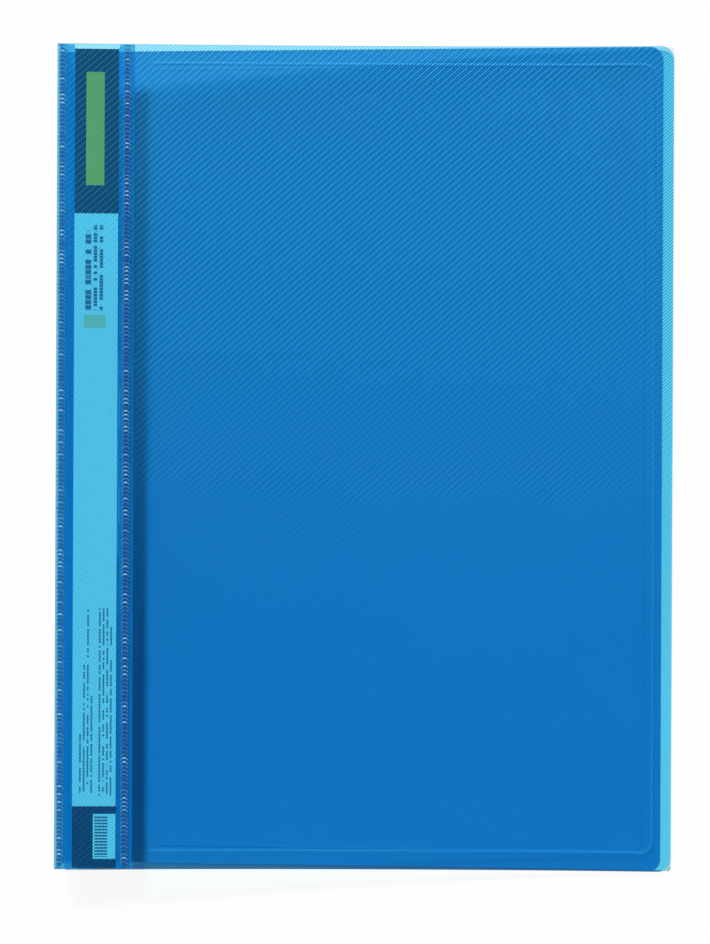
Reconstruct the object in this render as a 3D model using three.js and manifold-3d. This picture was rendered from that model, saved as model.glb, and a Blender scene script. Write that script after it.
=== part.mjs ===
import * as THREE from 'three';
import { mergeVertices } from 'three/addons/utils/BufferGeometryUtils.js';
import Module from 'manifold-3d';

// A folder for A4 sheets with a wire clip fastener, closed and lying on its back cover.
// X runs from the spine to the fore edge, Y along the height, Z up, in millimetres.
// The origin is the middle of the underside.

// Covers and spine, folded from one plastic sheet
const COVER_WIDTH = 231;
const COVER_HEIGHT = 310;
const SPINE_WIDTH = 20;
const SHEET = 0.7;
const BACK_COVER_SHORTFALL = 4;
const COVER_CORNER_RADIUS = 5;
const FORE_EDGE_GAP = 0.6;
const SAG_POWER = 1.6;
const FOLD_CLEARANCE = 0.4;

// Pressed bead that stiffens each cover
const BEAD_INSET = 7;
const BEAD_WIDTH = 1.2;
const BEAD_HEIGHT = 0.35;
const BEAD_GROOVE_WIDTH = 0.6;
const BEAD_START = 35.5;
const BEAD_CORNER_RADIUS = 4.5;

// Label pocket on the inside of the front cover
const POCKET_WIDTH = 28.8;
const POCKET_SPINE_GAP = 1.2;
const POCKET_SHEET = 0.4;
const WELD_WIDTH = 2.7;
const WELD_EDGE = 0.7;
const WELD_PITCH = 4.5;
const WELD_CELL_LENGTH = 3.1;
const WELD_DEPTH = 0.2;
const WELD_RAMP = 0.8;
const CARD_THICKNESS = 0.2;
const CARD_WIDTH = 16.2;
const CARD_LENGTH = 307.8;
const CARD_TOP_INSET = 1.7;
const CARD_SPINE_DISTANCE = 6.6;
const THUMB_NOTCH_WIDTH = 17;
const THUMB_NOTCH_DEPTH = 1.7;
const THUMB_NOTCH_RADIUS = 1;

// Wire clip fastener, set behind the label
const HOLE_DISTANCE = 13;
const HOLE_SPACING = 80;
const PLATE_THICKNESS = 0.8;
const PLATE_LENGTH = 122;
const PLATE_SPINE_MARGIN = 5;
const PLATE_CORNER_RADIUS = 4;
const POST_RADIUS = 1.8;
const POST_FLANGE_RADIUS = 3;
const POST_FLANGE_HEIGHT = 0.5;
const POST_SOCKET_DEPTH = 2.5;
const WIRE_RADIUS = 1.2;
const WIRE_SPAN = 7.5;
const WIRE_BEND_RADIUS = 2;
const KNUCKLE_WALL = 0.6;
const KNUCKLE_LENGTH = 14;
const KNUCKLE_DISTANCE = 18;
const RIVET_RADIUS = 1.7;
const RIVET_HEAD_RADIUS = 3.6;
const RIVET_HEAD_HEIGHT = 0.8;
const RIVET_FOOT_HEIGHT = 0.3;
const RIVET_BORE_RADIUS = 1;
const RIVET_END_DISTANCE = 7;
const BOSS_RIM = 0.8;

// Clearances between pieces
const SEAT_GAP = 0.3;
const KNUCKLE_CLEARANCE = 0.25;
const SWING_CLEARANCE = 1;

// Fineness of the curves
const COVER_STEPS = 24;
const ARC_STEPS = 5;
const ROUND_SIDES = 20;
const WIRE_STEPS = 76;
const WIRE_SIDES = 5;
const CUT_MARGIN = 1;

// Places that follow from the sizes
const SPINE_X = -COVER_WIDTH / 2;
const FORE_X = COVER_WIDTH / 2;
const TOP_Y = COVER_HEIGHT / 2;
const BACK_FORE_X = FORE_X - BACK_COVER_SHORTFALL;
const FORE_EDGE_HEIGHT = SHEET + FORE_EDGE_GAP + SHEET;
const MITRE = FOLD_CLEARANCE / Math.SQRT2;
const TALLEST = SPINE_WIDTH + BEAD_HEIGHT + CUT_MARGIN;
const CARD_DEPTH = SHEET + SEAT_GAP;
const POCKET_DEPTH = CARD_DEPTH + CARD_THICKNESS + SEAT_GAP;
const POST_X = SPINE_X + HOLE_DISTANCE;
const HOLE_Y = HOLE_SPACING / 2;
const RIVET_Y = PLATE_LENGTH / 2 - RIVET_END_DISTANCE;
const RIVET_X = POST_X + WIRE_SPAN / 2;
const BOSS_RECESS = RIVET_FOOT_HEIGHT + SEAT_GAP;
const BOSS_TOP = BOSS_RECESS + SHEET;
const PLATE_BOTTOM = BOSS_TOP + SEAT_GAP;
const PLATE_TOP = PLATE_BOTTOM + PLATE_THICKNESS;
const HINGE_DISTANCE = HOLE_DISTANCE + WIRE_SPAN;
const HINGE_X = SPINE_X + HINGE_DISTANCE;
const HINGE_Z = PLATE_TOP + SEAT_GAP + WIRE_RADIUS;
const KNUCKLE_BORE = WIRE_RADIUS + KNUCKLE_CLEARANCE;
const KNUCKLE_RADIUS = KNUCKLE_BORE + KNUCKLE_WALL;
const ARCH_RADIUS = WIRE_SPAN / 2;

const wasm = await Module();
wasm.setup();

// A closed geometry as a solid that can be joined and cut.
function solidOf(geometry) {
  const bare = geometry.clone();
  bare.deleteAttribute('normal');
  bare.deleteAttribute('uv');
  const merged = mergeVertices(bare, 1e-4);
  const mesh = new wasm.Mesh({
    numProp: 3,
    vertProperties: new Float32Array(merged.attributes.position.array),
    triVerts: new Uint32Array(merged.index.array),
  });
  mesh.merge();
  return new wasm.Manifold(mesh);
}

// A solid back as a geometry.
function geometryOf(solid) {
  const mesh = solid.getMesh();
  const geometry = new THREE.BufferGeometry();
  geometry.setAttribute('position', new THREE.BufferAttribute(mesh.vertProperties, 3));
  geometry.setIndex(new THREE.BufferAttribute(mesh.triVerts, 1));
  geometry.computeVertexNormals();
  return geometry;
}

function extrude(shape, depth) {
  return new THREE.ExtrudeGeometry(shape, {
    depth,
    bevelEnabled: false,
    steps: 1,
    curveSegments: ARC_STEPS,
  });
}

// An outline in X and Y made solid from one height to another.
function standUp(shape, bottom, top) {
  const geometry = extrude(shape, top - bottom);
  geometry.translate(0, 0, bottom);
  return solidOf(geometry);
}

// A section in X and Z made solid between two places along Y.
function runAlongY(section, start, end) {
  const geometry = extrude(section, end - start);
  const axes = new THREE.Matrix4().makeBasis(
    new THREE.Vector3(1, 0, 0),
    new THREE.Vector3(0, 0, 1),
    new THREE.Vector3(0, -1, 0),
  );
  geometry.applyMatrix4(axes);
  geometry.translate(0, end, 0);
  return solidOf(geometry);
}

function block(fromX, toX, fromY, toY, bottom, top) {
  const geometry = new THREE.BoxGeometry(toX - fromX, toY - fromY, top - bottom);
  geometry.translate((fromX + toX) / 2, (fromY + toY) / 2, (bottom + top) / 2);
  return solidOf(geometry);
}

function outline(points) {
  return new THREE.Shape(points.map(([across, along]) => new THREE.Vector2(across, along)));
}

// Height of the front cover's outer face: it leaves the spine's edge and sags onto the back cover.
function frontHeight(fromSpine) {
  const remaining = Math.max(1 - fromSpine / COVER_WIDTH, 0);
  return FORE_EDGE_HEIGHT + (SPINE_WIDTH - FORE_EDGE_HEIGHT) * remaining ** SAG_POWER;
}

// A point at a depth under the front cover's outer face.
function underFront(fromSpine, depth) {
  return [SPINE_X + fromSpine, frontHeight(fromSpine) - depth];
}

// Section of a sheet that follows the front cover, between two depths.
// Its lower face may start further from the spine than its upper one, as at a mitre.
function frontSection(start, end, upperDepth, lowerDepth, lowerStart = start) {
  const steps = Math.ceil((COVER_STEPS * (end - start)) / COVER_WIDTH);
  const distances = [];
  for (let step = 0; step <= steps; step += 1) {
    distances.push(start + ((end - start) * step) / steps);
  }
  const upper = distances.map((distance) => underFront(distance, upperDepth));
  const lower = distances.map((distance) => underFront(Math.max(distance, lowerStart), lowerDepth));
  return outline([...lower, ...upper.reverse()]);
}

// Outline of a cover with round corners at its fore edge.
function coverOutline(foreX) {
  const shape = new THREE.Shape();
  const left = SPINE_X - CUT_MARGIN;
  const round = COVER_CORNER_RADIUS;
  shape.moveTo(left, -TOP_Y);
  shape.lineTo(foreX - round, -TOP_Y);
  shape.absarc(foreX - round, -TOP_Y + round, round, -Math.PI / 2, 0, false);
  shape.lineTo(foreX, TOP_Y - round);
  shape.absarc(foreX - round, TOP_Y - round, round, 0, Math.PI / 2, false);
  shape.lineTo(left, TOP_Y);
  shape.closePath();
  return shape;
}

// Outline of the three-sided bead: open towards the spine, round at its two corners.
function beadOutline(foreX, width) {
  const shape = new THREE.Shape();
  const half = width / 2;
  const startX = SPINE_X + BEAD_START;
  const sideX = foreX - BEAD_INSET;
  const sideY = TOP_Y - BEAD_INSET;
  const bendX = sideX - BEAD_CORNER_RADIUS;
  const bendY = sideY - BEAD_CORNER_RADIUS;
  const outer = BEAD_CORNER_RADIUS + half;
  const inner = BEAD_CORNER_RADIUS - half;
  shape.moveTo(startX, -sideY - half);
  shape.lineTo(bendX, -sideY - half);
  shape.absarc(bendX, -bendY, outer, -Math.PI / 2, 0, false);
  shape.lineTo(sideX + half, bendY);
  shape.absarc(bendX, bendY, outer, 0, Math.PI / 2, false);
  shape.lineTo(startX, sideY + half);
  shape.lineTo(startX, sideY - half);
  shape.lineTo(bendX, sideY - half);
  shape.absarc(bendX, bendY, inner, Math.PI / 2, 0, true);
  shape.lineTo(sideX - half, -bendY);
  shape.absarc(bendX, -bendY, inner, 0, -Math.PI / 2, true);
  shape.lineTo(startX, -sideY + half);
  shape.closePath();
  return shape;
}

// The bead and its hollow, each cut from a sheet that follows the cover.
function pressBead(cover, foreX, ridgeSheet, hollowSheet) {
  const ridge = standUp(beadOutline(foreX, BEAD_WIDTH), -CUT_MARGIN, TALLEST);
  const hollow = standUp(beadOutline(foreX, BEAD_GROOVE_WIDTH), -CUT_MARGIN, TALLEST);
  return cover.add(ridge.intersect(ridgeSheet)).subtract(hollow.intersect(hollowSheet));
}

// The back cover lies flat, and its bead is pressed inwards.
function makeBackCover() {
  const section = outline([
    [SPINE_X + MITRE, 0],
    [BACK_FORE_X, 0],
    [BACK_FORE_X, SHEET],
    [SPINE_X + MITRE + SHEET, SHEET],
  ]);
  const plan = standUp(coverOutline(BACK_FORE_X), -CUT_MARGIN, TALLEST);
  const cover = runAlongY(section, -TOP_Y, TOP_Y).intersect(plan);
  const ridgeSheet = block(SPINE_X, FORE_X, -TOP_Y, TOP_Y, SHEET / 2, SHEET + BEAD_HEIGHT);
  const hollowSheet = block(SPINE_X, FORE_X, -TOP_Y, TOP_Y, -CUT_MARGIN, BEAD_HEIGHT);
  return addRivetBosses(pressBead(cover, BACK_FORE_X, ridgeSheet, hollowSheet));
}

// A pressed boss for each rivet, with a recess that keeps the rivet's foot off the table.
function addRivetBosses(cover) {
  const recessRadius = RIVET_HEAD_RADIUS + SEAT_GAP;
  const bossRadius = recessRadius + BOSS_RIM;
  let pressed = cover;
  for (const side of [-1, 1]) {
    const middle = side * RIVET_Y;
    const boss = plainDisc(bossRadius, SHEET / 2, BOSS_TOP, RIVET_X, middle);
    const recess = plainDisc(recessRadius, -CUT_MARGIN, BOSS_RECESS, RIVET_X, middle);
    const hole = plainDisc(RIVET_RADIUS + SEAT_GAP, -CUT_MARGIN, BOSS_TOP + CUT_MARGIN, RIVET_X, middle);
    pressed = pressed.add(boss).subtract(recess).subtract(hole);
  }
  return pressed;
}

// The spine stands on the back cover's fold, mitred at both folds.
function makeSpinePanel() {
  const section = outline([
    [SPINE_X, MITRE],
    [SPINE_X + SHEET, MITRE + SHEET],
    [SPINE_X + SHEET, SPINE_WIDTH - MITRE - SHEET],
    [SPINE_X, SPINE_WIDTH - MITRE],
  ]);
  return runAlongY(section, -TOP_Y, TOP_Y);
}

// One row of weld cells sunk into the front cover's outer face.
function weldCells(fromSpine) {
  const rows = Math.floor((COVER_HEIGHT - WELD_PITCH) / WELD_PITCH);
  const floorSheet = runAlongY(
    frontSection(fromSpine, fromSpine + WELD_WIDTH, -CUT_MARGIN, WELD_DEPTH),
    -TOP_Y,
    TOP_Y,
  );
  const cells = [];
  for (let row = 0; row < rows; row += 1) {
    const middle = (row - (rows - 1) / 2) * WELD_PITCH;
    const start = middle - WELD_CELL_LENGTH / 2;
    const left = SPINE_X + fromSpine - CUT_MARGIN;
    const right = SPINE_X + fromSpine + WELD_WIDTH + CUT_MARGIN;
    cells.push(block(left, right, start, start + WELD_CELL_LENGTH, 0, TALLEST));
  }
  return wasm.Manifold.union(cells).intersect(floorSheet);
}

// The front cover is the wider one, and its bead is pressed outwards.
function makeFrontCover() {
  const start = MITRE;
  const section = frontSection(start, COVER_WIDTH, 0, SHEET, start + SHEET);
  const sheet = runAlongY(section, -TOP_Y, TOP_Y);
  const plan = standUp(coverOutline(FORE_X), -CUT_MARGIN, TALLEST);
  const ridgeSheet = runAlongY(
    frontSection(start, COVER_WIDTH, -BEAD_HEIGHT, SHEET / 2),
    -TOP_Y,
    TOP_Y,
  );
  const hollowSheet = runAlongY(
    frontSection(start, COVER_WIDTH, SHEET - BEAD_HEIGHT, SHEET + CUT_MARGIN),
    -TOP_Y,
    TOP_Y,
  );
  const cover = pressBead(sheet.intersect(plan), FORE_X, ridgeSheet, hollowSheet);
  const innerWeld = POCKET_WIDTH - WELD_EDGE - WELD_WIDTH;
  return cover.subtract(weldCells(WELD_EDGE)).subtract(weldCells(innerWeld));
}

// The strip welded inside the front cover, with a shallow thumb notch at its top.
function makeLabelBacking() {
  const start = POCKET_SPINE_GAP;
  const end = POCKET_WIDTH;
  const spineRamp = WELD_EDGE + WELD_WIDTH;
  const foreRamp = end - WELD_EDGE - WELD_WIDTH;
  const upper = [
    [start, CARD_DEPTH],
    [spineRamp, CARD_DEPTH],
    [spineRamp + WELD_RAMP, POCKET_DEPTH],
    [foreRamp - WELD_RAMP, POCKET_DEPTH],
    [foreRamp, CARD_DEPTH],
    [end, CARD_DEPTH],
  ];
  const upperPoints = upper.map(([distance, depth]) => underFront(distance, depth));
  const lowerPoints = upper.map(([distance, depth]) => underFront(distance, depth + POCKET_SHEET));
  const strip = runAlongY(outline([...lowerPoints, ...upperPoints.reverse()]), -TOP_Y, TOP_Y);
  const middleX = SPINE_X + CARD_SPINE_DISTANCE + CARD_WIDTH / 2;
  const half = THUMB_NOTCH_WIDTH / 2;
  const floorY = TOP_Y - THUMB_NOTCH_DEPTH;
  const round = THUMB_NOTCH_RADIUS;
  const notch = new THREE.Shape();
  notch.moveTo(middleX - half, TOP_Y + CUT_MARGIN);
  notch.lineTo(middleX - half, floorY + round);
  notch.absarc(middleX - half + round, floorY + round, round, Math.PI, Math.PI * 1.5, false);
  notch.lineTo(middleX + half - round, floorY);
  notch.absarc(middleX + half - round, floorY + round, round, -Math.PI / 2, 0, false);
  notch.lineTo(middleX + half, TOP_Y + CUT_MARGIN);
  notch.closePath();
  return strip.subtract(standUp(notch, 0, TALLEST));
}

// The label slides in the pocket between the cover and its backing.
function makeLabelCard() {
  const section = frontSection(
    CARD_SPINE_DISTANCE,
    CARD_SPINE_DISTANCE + CARD_WIDTH,
    CARD_DEPTH,
    CARD_DEPTH + CARD_THICKNESS,
  );
  const top = TOP_Y - CARD_TOP_INSET;
  return runAlongY(section, top - CARD_LENGTH, top);
}

// Height of the arches' centres, as high as the clip can swing under the closed label pocket.
function archHeight() {
  const headroom = frontHeight(HINGE_DISTANCE) - POCKET_DEPTH - POCKET_SHEET - HINGE_Z;
  const reach = headroom - SWING_CLEARANCE - WIRE_RADIUS - ARCH_RADIUS;
  return HINGE_Z + Math.sqrt(reach ** 2 - ARCH_RADIUS ** 2);
}

// Centre line of half the clip, from its middle on the hinge to its end over the upper post.
function wireStretches(archZ) {
  const bend = WIRE_BEND_RADIUS;
  const axleLength = HOLE_Y - bend;
  const legLength = archZ - HINGE_Z - bend;
  const along = (distance) => new THREE.Vector3(HINGE_X, distance, HINGE_Z);
  const round = (distance) => {
    const angle = distance / bend;
    const across = HOLE_Y - bend + bend * Math.sin(angle);
    return new THREE.Vector3(HINGE_X, across, HINGE_Z + bend - bend * Math.cos(angle));
  };
  const up = (distance) => new THREE.Vector3(HINGE_X, HOLE_Y, HINGE_Z + bend + distance);
  const over = (distance) => {
    const angle = distance / ARCH_RADIUS;
    const inwards = HINGE_X - ARCH_RADIUS + ARCH_RADIUS * Math.cos(angle);
    return new THREE.Vector3(inwards, HOLE_Y, archZ + ARCH_RADIUS * Math.sin(angle));
  };
  return [
    { length: axleLength, at: along },
    { length: (bend * Math.PI) / 2, at: round },
    { length: legLength, at: up },
    { length: ARCH_RADIUS * Math.PI, at: over },
  ];
}

// The whole clip is the half and its mirror image.
class WirePath extends THREE.Curve {
  constructor(archZ) {
    super();
    this.stretches = wireStretches(archZ);
    this.half = this.stretches.reduce((sum, stretch) => sum + stretch.length, 0);
  }

  getPoint(share, target = new THREE.Vector3()) {
    const signed = (2 * share - 1) * this.half;
    let left = Math.abs(signed);
    let index = 0;
    while (index < this.stretches.length - 1 && left > this.stretches[index].length) {
      left -= this.stretches[index].length;
      index += 1;
    }
    target.copy(this.stretches[index].at(left));
    target.y *= Math.sign(signed) || 1;
    return target;
  }
}

// A round solid that stands at a place, turned from a profile of radius and height.
function turned(profile, atX, atY, sides) {
  const points = profile.map(([radius, height]) => new THREE.Vector2(radius, height));
  const geometry = new THREE.LatheGeometry(points, sides);
  geometry.rotateX(Math.PI / 2);
  geometry.translate(atX, atY, 0);
  return solidOf(geometry);
}

function plainDisc(radius, bottom, top, atX, atY) {
  return turned([[0, bottom], [radius, bottom], [radius, top], [0, top]], atX, atY, ROUND_SIDES);
}

// A bar of round section along Y on the hinge's centre line.
function hingeBar(radius, start, end) {
  const geometry = new THREE.CylinderGeometry(radius, radius, end - start, ROUND_SIDES);
  geometry.translate(HINGE_X, (start + end) / 2, HINGE_Z);
  return solidOf(geometry);
}

// Steel plate with two rolled knuckles for the clip and holes for the posts and rivets.
function makeBasePlate() {
  const left = POST_X - PLATE_SPINE_MARGIN;
  const right = HINGE_X + KNUCKLE_RADIUS;
  const end = PLATE_LENGTH / 2;
  const round = PLATE_CORNER_RADIUS;
  const quarter = Math.PI / 2;
  const shape = new THREE.Shape();
  shape.moveTo(left + round, -end);
  shape.absarc(right - round, -end + round, round, -quarter, 0, false);
  shape.absarc(right - round, end - round, round, 0, quarter, false);
  shape.absarc(left + round, end - round, round, quarter, 2 * quarter, false);
  shape.absarc(left + round, -end + round, round, 2 * quarter, 3 * quarter, false);
  shape.closePath();
  let plate = standUp(shape, PLATE_BOTTOM, PLATE_TOP);
  for (const side of [-1, 1]) {
    const middle = side * KNUCKLE_DISTANCE;
    const start = middle - KNUCKLE_LENGTH / 2;
    const knuckle = hingeBar(KNUCKLE_RADIUS, start, start + KNUCKLE_LENGTH);
    const bore = hingeBar(KNUCKLE_BORE, start - CUT_MARGIN, start + KNUCKLE_LENGTH + CUT_MARGIN);
    const postHole = plainDisc(WIRE_RADIUS + SEAT_GAP, 0, PLATE_TOP + CUT_MARGIN, POST_X, side * HOLE_Y);
    const rivetHole = plainDisc(RIVET_RADIUS + SEAT_GAP, 0, PLATE_TOP + CUT_MARGIN, RIVET_X, side * RIVET_Y);
    plate = plate.add(knuckle).subtract(bore).subtract(postHole).subtract(rivetHole);
  }
  return plate;
}

// A post stands on a flange, its shank set in the plate and a socket in its top.
function makePost(side) {
  const top = archHeight() - SEAT_GAP;
  const flangeBottom = PLATE_TOP + SEAT_GAP;
  const flangeTop = flangeBottom + POST_FLANGE_HEIGHT;
  const profile = [
    [0, PLATE_BOTTOM],
    [WIRE_RADIUS, PLATE_BOTTOM],
    [WIRE_RADIUS, flangeBottom],
    [POST_FLANGE_RADIUS, flangeBottom],
    [POST_FLANGE_RADIUS, flangeTop],
    [POST_RADIUS, flangeTop],
    [POST_RADIUS, top],
    [WIRE_RADIUS, top],
    [WIRE_RADIUS, top - POST_SOCKET_DEPTH],
    [0, top - POST_SOCKET_DEPTH],
  ];
  return turned(profile, POST_X, side * HOLE_Y, ROUND_SIDES);
}

// One spring wire: a hinge bar between two legs, each arched over to its post.
function makeWireClip() {
  const section = new THREE.Shape();
  section.absarc(0, 0, WIRE_RADIUS, 0, 2 * Math.PI, false);
  const geometry = new THREE.ExtrudeGeometry(section, {
    steps: WIRE_STEPS,
    bevelEnabled: false,
    curveSegments: WIRE_SIDES,
    extrudePath: new WirePath(archHeight()),
  });
  return solidOf(geometry);
}

// A tubular rivet: a domed head on the plate and a flat foot in the cover's recess.
function makeRivet(side) {
  const headBottom = PLATE_TOP + SEAT_GAP;
  const headTop = headBottom + RIVET_HEAD_HEIGHT;
  const profile = [
    [RIVET_BORE_RADIUS, 0],
    [RIVET_HEAD_RADIUS, 0],
    [RIVET_HEAD_RADIUS, RIVET_FOOT_HEIGHT],
    [RIVET_RADIUS, RIVET_FOOT_HEIGHT],
    [RIVET_RADIUS, headBottom],
    [RIVET_HEAD_RADIUS, headBottom],
    [RIVET_HEAD_RADIUS, headBottom + RIVET_HEAD_HEIGHT / 4],
    [(RIVET_HEAD_RADIUS + RIVET_BORE_RADIUS) / 2, headTop],
    [RIVET_BORE_RADIUS, headTop - RIVET_HEAD_HEIGHT / 4],
    [RIVET_BORE_RADIUS, 0],
  ];
  return turned(profile, RIVET_X, side * RIVET_Y, ROUND_SIDES);
}

const bluePlastic = new THREE.MeshStandardMaterial({
  color: 0x1487c8,
  roughness: 0.35,
  metalness: 0,
  transparent: true,
  opacity: 0.75,
});
const stripPlastic = new THREE.MeshStandardMaterial({
  color: 0x2c8fc4,
  roughness: 0.4,
  metalness: 0,
  transparent: true,
  opacity: 0.85,
});
const labelPaper = new THREE.MeshStandardMaterial({ color: 0xf2f4f3, roughness: 0.8, metalness: 0 });
const steel = new THREE.MeshStandardMaterial({ color: 0xb9bdc1, roughness: 0.3, metalness: 1 });

const folder = new THREE.Group();

function addPiece(name, solid, material) {
  const mesh = new THREE.Mesh(geometryOf(solid), material);
  mesh.name = name;
  folder.add(mesh);
}

addPiece('back_cover', makeBackCover(), bluePlastic);
addPiece('spine_panel', makeSpinePanel(), bluePlastic);
addPiece('front_cover', makeFrontCover(), bluePlastic);
addPiece('label_backing', makeLabelBacking(), stripPlastic);
addPiece('label_card', makeLabelCard(), labelPaper);
addPiece('base_plate', makeBasePlate(), steel);
addPiece('wire_clip', makeWireClip(), steel);
for (const [place, side] of [['upper', 1], ['lower', -1]]) {
  addPiece(`post_${place}`, makePost(side), steel);
  addPiece(`rivet_${place}`, makeRivet(side), steel);
}

export default folder;
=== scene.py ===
# Translucent blue folder with a label pocket and a wire clip, lying closed and seen from above
from math import atan2, cos, pi, radians, sin

import bmesh
import bpy
from mathutils import Matrix, Quaternion, Vector


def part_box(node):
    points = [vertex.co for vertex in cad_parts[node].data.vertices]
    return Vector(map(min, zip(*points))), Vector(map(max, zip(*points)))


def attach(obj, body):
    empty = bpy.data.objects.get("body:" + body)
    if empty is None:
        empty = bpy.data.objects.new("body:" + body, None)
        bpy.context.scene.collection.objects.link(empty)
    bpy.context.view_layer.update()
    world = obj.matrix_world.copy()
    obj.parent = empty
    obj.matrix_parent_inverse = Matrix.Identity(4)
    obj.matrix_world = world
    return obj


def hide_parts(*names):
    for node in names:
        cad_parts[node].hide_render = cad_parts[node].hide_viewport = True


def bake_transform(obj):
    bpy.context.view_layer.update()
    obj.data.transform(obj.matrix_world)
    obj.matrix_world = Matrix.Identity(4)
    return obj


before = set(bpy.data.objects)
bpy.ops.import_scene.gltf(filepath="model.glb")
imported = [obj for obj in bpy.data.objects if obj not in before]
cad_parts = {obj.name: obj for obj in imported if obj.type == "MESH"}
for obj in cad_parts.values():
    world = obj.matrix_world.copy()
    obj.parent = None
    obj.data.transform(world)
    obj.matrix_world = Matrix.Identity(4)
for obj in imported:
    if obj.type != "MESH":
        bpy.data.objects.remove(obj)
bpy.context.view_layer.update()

mm = 0.001


def boxOf(node):
    low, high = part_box(node)
    return Vector(low), Vector(high)


spineX = boxOf("spine_panel")[0].x
foreX = boxOf("front_cover")[1].x
topY = boxOf("front_cover")[1].y
backForeX = boxOf("back_cover")[1].x
coverWidth = foreX - spineX

folder = {
    "sheet": 0.7 * mm,
    "spineWidth": 20 * mm,
    "foreHeight": 2 * mm,  # outer face of the front cover over its fore edge
    "sagPower": 1.6,
    "foldRadius": 1.0 * mm,
    "foldReach": 2.2 * mm,  # how far the bend reaches from a fold's line
    "foldSteps": 6,
    "cornerRadius": 5 * mm,
    "columns": 44,
    "seamGap": 0.01 * mm,  # the two folded sheets meet here, halfway up the spine
    "rimFacing": 0.5,  # a cut edge's normal leans at least this far along the sheet
    "flatFacing": 0.985,  # a flat face's normal is at least this near an axis
}


def say(text):
    print("folder:", text)


def frontHeight(fromSpine):
    remaining = max(1 - fromSpine / coverWidth, 0)
    drop = folder["spineWidth"] - folder["foreHeight"]
    return folder["foreHeight"] + drop * remaining ** folder["sagPower"]


# Camera: square to the front cover, which slopes from the spine to the fore edge
camera = {
    "distance": 930 * mm,
    "visibleHeight": 354.3 * mm,
    "sensor": 36,
    "objectRight": 3.3 * mm,  # where the cover's middle lies from the middle of the picture
    "objectUp": 5.4 * mm,
    "rollDegrees": 0.26,
}


def placeCamera():
    drop = folder["spineWidth"] - folder["foreHeight"]
    tilt = atan2(drop, coverWidth)
    outward = Vector((sin(tilt), 0, cos(tilt)))
    alongCover = Vector((cos(tilt), 0, -sin(tilt)))
    middle = Vector(((spineX + foreX) / 2, 0, folder["foreHeight"] + drop / 2))
    aim = middle - alongCover * camera["objectRight"] - Vector((0, camera["objectUp"], 0))
    data = bpy.data.cameras.new("camera")
    data.sensor_width = camera["sensor"]
    data.lens = camera["sensor"] * camera["distance"] / camera["visibleHeight"]
    body = bpy.data.objects.new("camera", data)
    bpy.context.collection.objects.link(body)
    body.location = aim + outward * camera["distance"]
    body.rotation_mode = "QUATERNION"
    facing = Matrix((alongCover, Vector((0, 1, 0)), outward)).transposed().to_quaternion()
    body.rotation_quaternion = facing @ Quaternion((0, 0, 1), radians(camera["rollDegrees"]))
    bpy.context.scene.camera = body


placeCamera()
say("camera placed")


# Shader maths: an output socket that Python's operators can work on
class Signal:
    def __init__(self, recipe, socket):
        self.recipe = recipe
        self.socket = socket

    def math(self, operation, first, second=0.0, clamp=False):
        settings = {"operation": operation, "use_clamp": clamp}
        return self.recipe.node("ShaderNodeMath", settings, {0: first, 1: second})

    def __add__(self, other):
        return self.math("ADD", self, other)

    __radd__ = __add__

    def __sub__(self, other):
        return self.math("SUBTRACT", self, other)

    def __rsub__(self, other):
        return self.math("SUBTRACT", other, self)

    def __mul__(self, other):
        return self.math("MULTIPLY", self, other)

    def __truediv__(self, other):
        return self.math("DIVIDE", self, other)

    def __abs__(self):
        return self.math("ABSOLUTE", self)

    def clamped(self):
        return self.math("ADD", self, clamp=True)

    def above(self, floor):
        return self.math("MAXIMUM", self, floor)

    def cell(self, size):  # whole number of the cell that the value lies in
        return self.math("FLOOR", self / size)

    def ridge(self, pitch):  # 1 on every line of the pitch, 0 halfway between two
        return abs(self.math("FRACT", self / pitch) - 0.5) * 2

    def rise(self, low, high):  # 0 under low, 1 over high
        limits = {"Value": self, "From Min": low, "From Max": high}
        return self.recipe.node("ShaderNodeMapRange", {"interpolation_type": "SMOOTHSTEP"}, limits)

    def between(self, low, high, soft=0.05 * mm):
        return self.rise(low - soft, low + soft) * (1 - self.rise(high - soft, high + soft))


class Recipe:  # a node tree with one method for every node but the maths
    def __init__(self, owner):
        owner.use_nodes = True
        self.owner = owner
        self.tree = owner.node_tree
        self.tree.nodes.clear()

    def node(self, kind, settings=None, inputs=None, output=0):
        node = self.tree.nodes.new(kind)
        for name, value in (settings or {}).items():
            setattr(node, name, value)
        for name, value in (inputs or {}).items():
            if isinstance(value, Signal):
                self.tree.links.new(value.socket, node.inputs[name])
            else:
                node.inputs[name].default_value = value
        return Signal(self, node.outputs[output] if node.outputs else None)

    def place(self):
        place = self.node("ShaderNodeTexCoord", output="Object")
        split = self.node("ShaderNodeSeparateXYZ", inputs={0: place})
        axes = [Signal(self, socket) for socket in split.socket.node.outputs]
        return place, *axes

    def mix(self, share, first, second):
        colours = [colour if isinstance(colour, Signal) else (*colour, 1) for colour in (first, second)]
        inputs = {0: share, 6: colours[0], 7: colours[1]}
        return self.node("ShaderNodeMix", {"data_type": "RGBA"}, inputs, 2)

    def noise(self, place, scale, detail=1):
        return self.node("ShaderNodeTexNoise", {}, {"Vector": place, "Scale": scale, "Detail": detail})

    def chance(self, number):  # a fixed random value for each whole number
        return self.node("ShaderNodeTexWhiteNoise", {"noise_dimensions": "1D"}, {"W": number})

    def tinted(self, look):
        return self.node("ShaderNodeBsdfTransparent", {}, {"Color": (*look["tint"], 1)})

    def blend(self, share, first, second):
        return self.node("ShaderNodeMixShader", {}, {0: share, 1: first, 2: second})

    def bump(self, relief, depth, strength):
        inputs = {"Height": relief, "Distance": depth, "Strength": strength}
        return self.node("ShaderNodeBump", {}, inputs)

    def surface(self, colour, **sockets):
        names = {name.replace("_", " "): value for name, value in sockets.items()}
        return self.node("ShaderNodeBsdfPrincipled", {}, {"Base Color": colour, **names})

    def show(self, shader, output="ShaderNodeOutputMaterial"):
        self.node(output, {}, {"Surface": shader})
        return self.owner


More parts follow.
